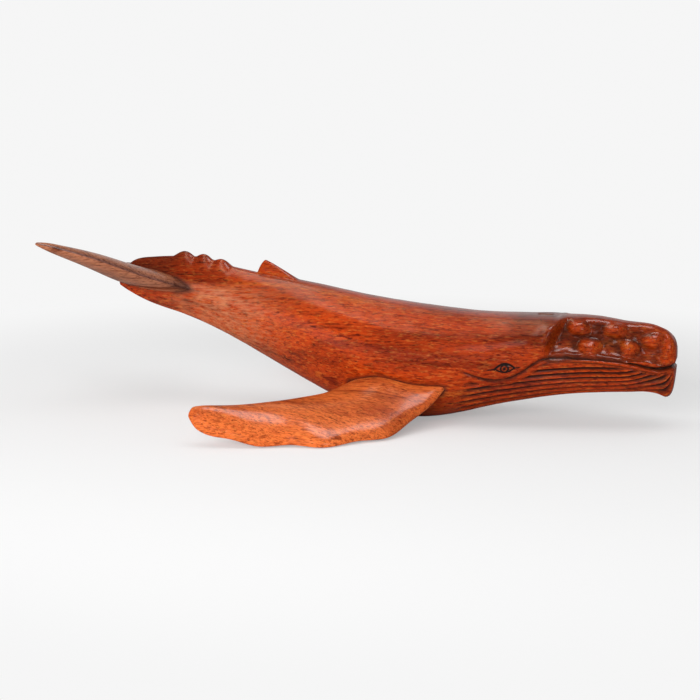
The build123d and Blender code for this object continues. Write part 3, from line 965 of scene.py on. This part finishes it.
def wood(name, tint, dark, light, grain_turn=0, offset=(0, 0, 0), carved=False, eyes=False):
    """Polished open-grained hardwood with its grain along X before it is turned."""
    material = bpy.data.materials.new(name)
    material.use_nodes = True
    nodes = Nodes(material.node_tree)
    place = nodes.add("TexCoord").outputs["Object"]

    def grain(scale, detail, rough, distortion=0.0, shift=(0, 0, 0)):
        location = [a + b for a, b in zip(offset, shift)]
        return nodes.noise(place, location, grain_turn, scale, detail, rough, distortion)

    bands = grain((3.2, 46, 46), 4.0, 0.55, 0.6)
    colour = nodes.ramp(bands, [(0.30, dark), (0.46, tint), (0.60, tint), (0.74, light)])
    noises = {}
    for layer, (kind, scale, detail, rough, distortion, shift, shows, tone) in wood_layers.items():
        noises[layer] = grain(scale, detail, rough, distortion, shift)
        colour = nodes.blend(kind, nodes.mask(noises[layer], *shows), colour, tone)
    if eyes:
        # Painted sheen over paler wood on the tail's side, broken into patches of grain
        patches = nodes.mask(grain((55, 480, 480), 4.0, 0.65, 0.3, (1.9, 6.1, 3.3)), 0.34, 0.66)
        pale = nodes.calc("MULTIPLY", nodes.attribute("pale"), patches)
        colour = nodes.blend("MIX", pale, colour, sheen_and_pale_wood_tone)
    if carved:
        for mark, kind, tone in carved_tones:
            colour = nodes.blend(kind, nodes.attribute(mark), colour, tone)
    if eyes:
        colour = nodes.blend("MIX", eye_lines(nodes, place), colour, eye_line_tone)

    bump = nodes.add("Bump")
    nodes.feed_socket(bump.inputs["Strength"], grain_bump)
    nodes.feed_socket(bump.inputs["Distance"], grain_depth * MM)
    nodes.feed_socket(bump.inputs["Height"], noises["fibre"])
    roughness = nodes.change(noises["fibre"], 0.0, 1.0, smooth_roughness, fibre_roughness, "LINEAR")
    shader = nodes.add("BsdfPrincipled")
    for socket, value in (
        ("Base Color", colour),
        ("Roughness", roughness),
        ("Normal", bump.outputs[0]),
        ("Coat Weight", polish_coat),
        ("Coat Roughness", polish_coat_roughness),
        ("Specular IOR Level", polish_specular),
    ):
        nodes.feed_socket(shader.inputs[socket], value)
    nodes.show("OutputMaterial", shader.outputs[0])
    return material


body_wood = wood(
    "body_wood", tint=(0.40, 0.040, 0.003), dark=(0.17, 0.014, 0.002), light=(0.52, 0.108, 0.010),
    offset=(0.21, 0.07, 0.33), carved=True, eyes=True,
)
limb_wood = wood(
    "limb_wood", tint=(0.68, 0.142, 0.030), dark=(0.46, 0.076, 0.016), light=(0.82, 0.23, 0.058),
    grain_turn=-28, offset=(0.37, 0.21, 0.13),
)
# The flukes' wood is tinted grey-brown as a painted reflection of the pale floor on their faces
fluke_wood_painted_sheen = wood(
    "fluke_wood_painted_sheen", tint=(0.42, 0.155, 0.080), dark=(0.28, 0.088, 0.040), light=(0.52, 0.21, 0.115),
    grain_turn=-50, offset=(0.17, 0.53, 0.29), carved=True,
)
dowel_wood = wood(
    "dowel_wood", tint=(0.50, 0.30, 0.15), dark=(0.36, 0.20, 0.10), light=(0.60, 0.40, 0.22), grain_turn=90,
)


# Pieces
def dress(piece, material):
    piece.data.materials.clear()
    piece.data.materials.append(material)


for piece, cad, material, slot in (
    (body, "body", body_wood, "body_wood"),
    (right_flipper, "right_flipper", limb_wood, "limb_wood"),
    (left_flipper, "left_flipper", limb_wood, "limb_wood"),
    (right_fluke, "right_fluke", fluke_wood_painted_sheen, "limb_wood"),
    (left_fluke, "left_fluke", fluke_wood_painted_sheen, "limb_wood"),
):
    dress(piece, material)
    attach(piece, "root")
    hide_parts(cad)
for name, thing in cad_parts.items():
    if name.endswith("_dowel"):
        dress(thing, dowel_wood)


# Stage, in metres
backdrop_white = 0.92
floor_corners = [(-6, -4, 0), (6, -4, 0), (6, 8, 0), (-6, 8, 0)]
floor_grey, floor_grey_in_shine = 0.90, 0.30
fade_from, fade_to, fade_start_share = 0.30, 0.62, 0.34
sky_light, sky_shine = 0.48, 0.14


def make_floor():
    """A pale floor that runs into the white backdrop away from the whale, and is dimmer in the polish."""
    mesh = bpy.data.meshes.new("floor")
    mesh.from_pydata(floor_corners, [], [(0, 1, 2, 3)])
    made = bpy.data.objects.new("floor", mesh)
    bpy.context.collection.objects.link(made)
    material = bpy.data.materials.new("pale_floor")
    material.use_nodes = True
    nodes = Nodes(material.node_tree)
    rays = nodes.add("LightPath").outputs
    reach = nodes.add("VectorMath", operation="LENGTH")
    nodes.feed(reach, nodes.add("TexCoord").outputs["Object"])
    fade = nodes.change(reach.outputs["Value"], fade_from, fade_to, fade_start_share)
    seen_fade = nodes.calc("MULTIPLY", fade, rays["Is Camera Ray"])
    matt = nodes.plain("BsdfDiffuse", floor_grey)
    glow = nodes.plain("Emission", backdrop_white)
    seen = nodes.mix_shaders(seen_fade, matt, glow)
    dim = nodes.plain("BsdfDiffuse", floor_grey_in_shine)
    nodes.show("OutputMaterial", nodes.mix_shaders(rays["Is Glossy Ray"], seen, dim))
    mesh.materials.append(material)
    return made


def make_sky():
    """Soft white light all round, dimmer in the polish, before a plain white backdrop."""
    made = bpy.data.worlds.new("studio")
    made.use_nodes = True
    nodes = Nodes(made.node_tree)
    rays = nodes.add("LightPath").outputs
    soft = nodes.plain("Background", 1.0, sky_light)
    shine = nodes.plain("Background", 1.0, sky_shine)
    light = nodes.mix_shaders(rays["Is Glossy Ray"], soft, shine)
    seen = nodes.plain("Background", backdrop_white, 1.0)
    nodes.show("OutputWorld", nodes.mix_shaders(rays["Is Camera Ray"], light, seen))
    return made


def face(holder, aim):
    """Turn a lamp or camera so that it looks at a place."""
    holder.rotation_euler = (Vector(aim) - holder.location).to_track_quat("-Z", "Y").to_euler()


def area_light(name, place, aim, size, power, lights=True, shines=True, colour=(1.0, 1.0, 1.0)):
    """A panel that lights the wood, or shows in its polish, or both."""
    lamp = bpy.data.lights.new(name, "AREA")
    lamp.shape = "RECTANGLE"
    lamp.size, lamp.size_y = size
    lamp.energy = power
    lamp.color = colour
    holder = bpy.data.objects.new(name, lamp)
    holder.location = place
    face(holder, aim)
    holder.visible_camera = False
    holder.visible_diffuse = lights
    holder.visible_glossy = shines
    bpy.context.collection.objects.link(holder)


floor = make_floor()
scene = bpy.context.scene
scene.world = make_sky()

area_light("top_softbox", (0.05, -0.30, 1.5), (0, 0, 0.05), (1.6, 0.9), 5, shines=False)
area_light(
    "overhead_panel", (-0.31, 0.16, 1.30), (-0.31, 0.16, 0), (0.22, 1.38), 5.6,
    lights=False, colour=(1.0, 0.88, 0.70),
)
area_light(
    "sheen_panel", (-0.19, 0.32, 1.30), (-0.19, 0.32, 0), (0.14, 1.8), 2.4,
    lights=False, colour=(1.0, 0.80, 0.50),
)
area_light("shine_strip", (0.32, 0.10, 1.36), (0.32, 0.10, 0), (0.52, 0.52), 9, lights=False)
area_light("back_panel", (0.0, 1.7, 0.75), (0, 0, 0.10), (3.2, 1.3), 12, lights=False)
area_light("front_fill", (-0.35, -1.90, 0.60), (0, 0, 0.05), (1.8, 0.8), 43, shines=False)
area_light("brow_panel", (1.05, -0.98, 0.98), (0.15, -0.03, 0.07), (0.46, 0.46), 4.5, lights=False)
area_light("cheek_panel", (0.06, -1.25, 1.13), (0.12, -0.03, 0.07), (0.30, 0.50), 1.3, lights=False)
area_light("left_panel", (-0.98, -1.30, 0.36), (-0.11, 0, 0.09), (0.60, 0.55), 1.2, lights=False)

# Camera: turned towards the head and tilted down
camera_turn, camera_tilt = radians(14), radians(11)
camera_distance = 1467.2
camera_target = Vector((-14.15, 0, 50.32)) * MM
camera_lens, camera_sensor_width = 92, 36


def make_camera():
    view = bpy.data.cameras.new("camera")
    view.lens = camera_lens
    view.sensor_width = camera_sensor_width
    view.dof.use_dof = False
    made = bpy.data.objects.new("camera", view)
    bpy.context.collection.objects.link(made)
    level = cos(camera_tilt)
    back = Vector((sin(camera_turn) * level, -cos(camera_turn) * level, sin(camera_tilt)))
    made.location = camera_target + back * camera_distance * MM
    face(made, camera_target)
    return made


scene.camera = make_camera()
scene.view_settings.view_transform = "Standard"
